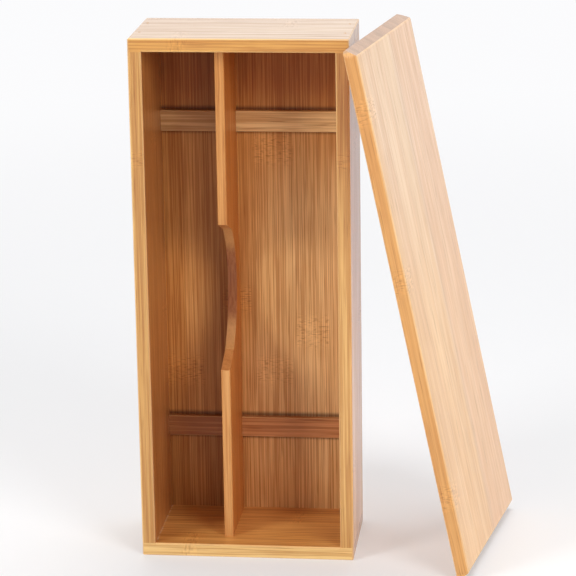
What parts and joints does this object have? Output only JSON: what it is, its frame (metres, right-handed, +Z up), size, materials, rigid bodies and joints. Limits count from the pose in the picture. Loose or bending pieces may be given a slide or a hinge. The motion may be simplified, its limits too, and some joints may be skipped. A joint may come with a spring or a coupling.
{
  "type": "chopstick box with loose lid",
  "caption": "Upright bamboo chopstick box with a notched divider, a narrow and a wide compartment, two cross battens and a loose lid board leaning on its side.",
  "frame": {"origin": "centre of the lower end wall's outer face, which the box stands on", "axes": "+Z up along the standing box's length, -Y out of its open side, +X towards the leaning lid"},
  "size_m": [0.1891, 0.1189, 0.272],
  "materials": {
    "side_wall": "satin lacquered bamboo, grain along the wall",
    "end_wall": "satin lacquered bamboo, grain across the box",
    "floor_panel": "satin caramel bamboo with grain along the box",
    "divider": "satin lacquered bamboo, grain along the divider",
    "batten": "satin bamboo with grain across the box",
    "pin": "plain headless steel pin",
    "lid": "satin lacquered bamboo laminated from lengthwise strips"
  },
  "bodies": {
    "box": {"side_wall_left": "side_wall", "side_wall_right": "side_wall", "end_wall_upper": "end_wall", "end_wall_lower": "end_wall", "floor_panel": "floor_panel", "divider": "divider", "batten_upper": "batten", "batten_lower": "batten", "corner_pins": "pin"},
    "lid": {"lid": "lid"}
  },
  "joints": [
    {"name": "lid_lift", "type": "slide", "parent": "box", "child": "lid", "axis": [0, 0, 1], "range_m": [0, 0.28]}
  ]
}
